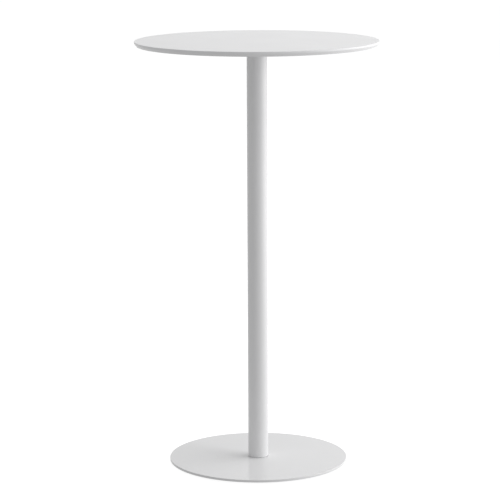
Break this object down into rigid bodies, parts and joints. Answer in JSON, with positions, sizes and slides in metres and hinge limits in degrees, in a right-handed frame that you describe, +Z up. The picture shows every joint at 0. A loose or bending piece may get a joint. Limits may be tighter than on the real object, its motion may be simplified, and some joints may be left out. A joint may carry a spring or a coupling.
{
  "type": "cocktail table",
  "caption": "Bar-height round pedestal table: thin lacquered top, slim steel column and flat round base with screw-in levelling glides.",
  "frame": {"origin": "on the floor, under the middle of the column", "axes": "+Z up along the column; the glides stand at 45 degrees to X and Y"},
  "size_m": [0.5999, 0.6, 1.06],
  "materials": {
    "white_lacquer": "white satin lacquer on fibreboard",
    "white_powder_coat": "white semi-gloss powder coat on steel",
    "zinc_steel": "zinc plated",
    "brass_insert": "turned brass",
    "nylon_foot": "moulded nylon"
  },
  "bodies": {
    "table": {"table_top": "white_lacquer", "top_inserts": "brass_insert", "top_flange": "white_powder_coat", "flange_washers": "zinc_steel", "flange_screws": "zinc_steel", "flange_bolt": "zinc_steel", "flange_dowels": "zinc_steel", "column_top_plug": "zinc_steel", "column_tube": "white_powder_coat", "column_bottom_plug": "zinc_steel", "base_dowels": "zinc_steel", "base_bolt": "zinc_steel", "base_plate": "white_powder_coat"},
    "foot_1": {"glide_pad_1": "nylon_foot"},
    "stud_1": {"glide_stud_1": "zinc_steel"},
    "foot_2": {"glide_pad_2": "nylon_foot"},
    "stud_2": {"glide_stud_2": "zinc_steel"},
    "foot_3": {"glide_pad_3": "nylon_foot"},
    "stud_3": {"glide_stud_3": "zinc_steel"},
    "foot_4": {"glide_pad_4": "nylon_foot"},
    "stud_4": {"glide_stud_4": "zinc_steel"}
  },
  "joints": [
    {"name": "foot_1_travel", "type": "slide", "parent": "table", "child": "foot_1", "axis": [0, 0, -1], "range_m": [0, 0.002]},
    {"name": "stud_1_turn", "type": "hinge", "parent": "foot_1", "child": "stud_1", "pos_m": [0.12728, 0.12728, 0], "axis": [0, 0, -1], "range_deg": [0, 576]},
    {"name": "foot_2_travel", "type": "slide", "parent": "table", "child": "foot_2", "axis": [0, 0, -1], "range_m": [0, 0.002]},
    {"name": "stud_2_turn", "type": "hinge", "parent": "foot_2", "child": "stud_2", "pos_m": [-0.12728, 0.12728, 0], "axis": [0, 0, -1], "range_deg": [0, 576]},
    {"name": "foot_3_travel", "type": "slide", "parent": "table", "child": "foot_3", "axis": [0, 0, -1], "range_m": [0, 0.002]},
    {"name": "stud_3_turn", "type": "hinge", "parent": "foot_3", "child": "stud_3", "pos_m": [-0.12728, -0.12728, 0], "axis": [0, 0, -1], "range_deg": [0, 576]},
    {"name": "foot_4_travel", "type": "slide", "parent": "table", "child": "foot_4", "axis": [0, 0, -1], "range_m": [0, 0.002]},
    {"name": "stud_4_turn", "type": "hinge", "parent": "foot_4", "child": "stud_4", "pos_m": [0.12728, -0.12728, 0], "axis": [0, 0, -1], "range_deg": [0, 576]}
  ],
  "couplings": [
    {"joint": "foot_1_travel", "follows": "stud_1_turn", "m_per_rad": 0.00019894},
    {"joint": "foot_2_travel", "follows": "stud_2_turn", "m_per_rad": 0.00019894},
    {"joint": "foot_3_travel", "follows": "stud_3_turn", "m_per_rad": 0.00019894},
    {"joint": "foot_4_travel", "follows": "stud_4_turn", "m_per_rad": 0.00019894}
  ]
}
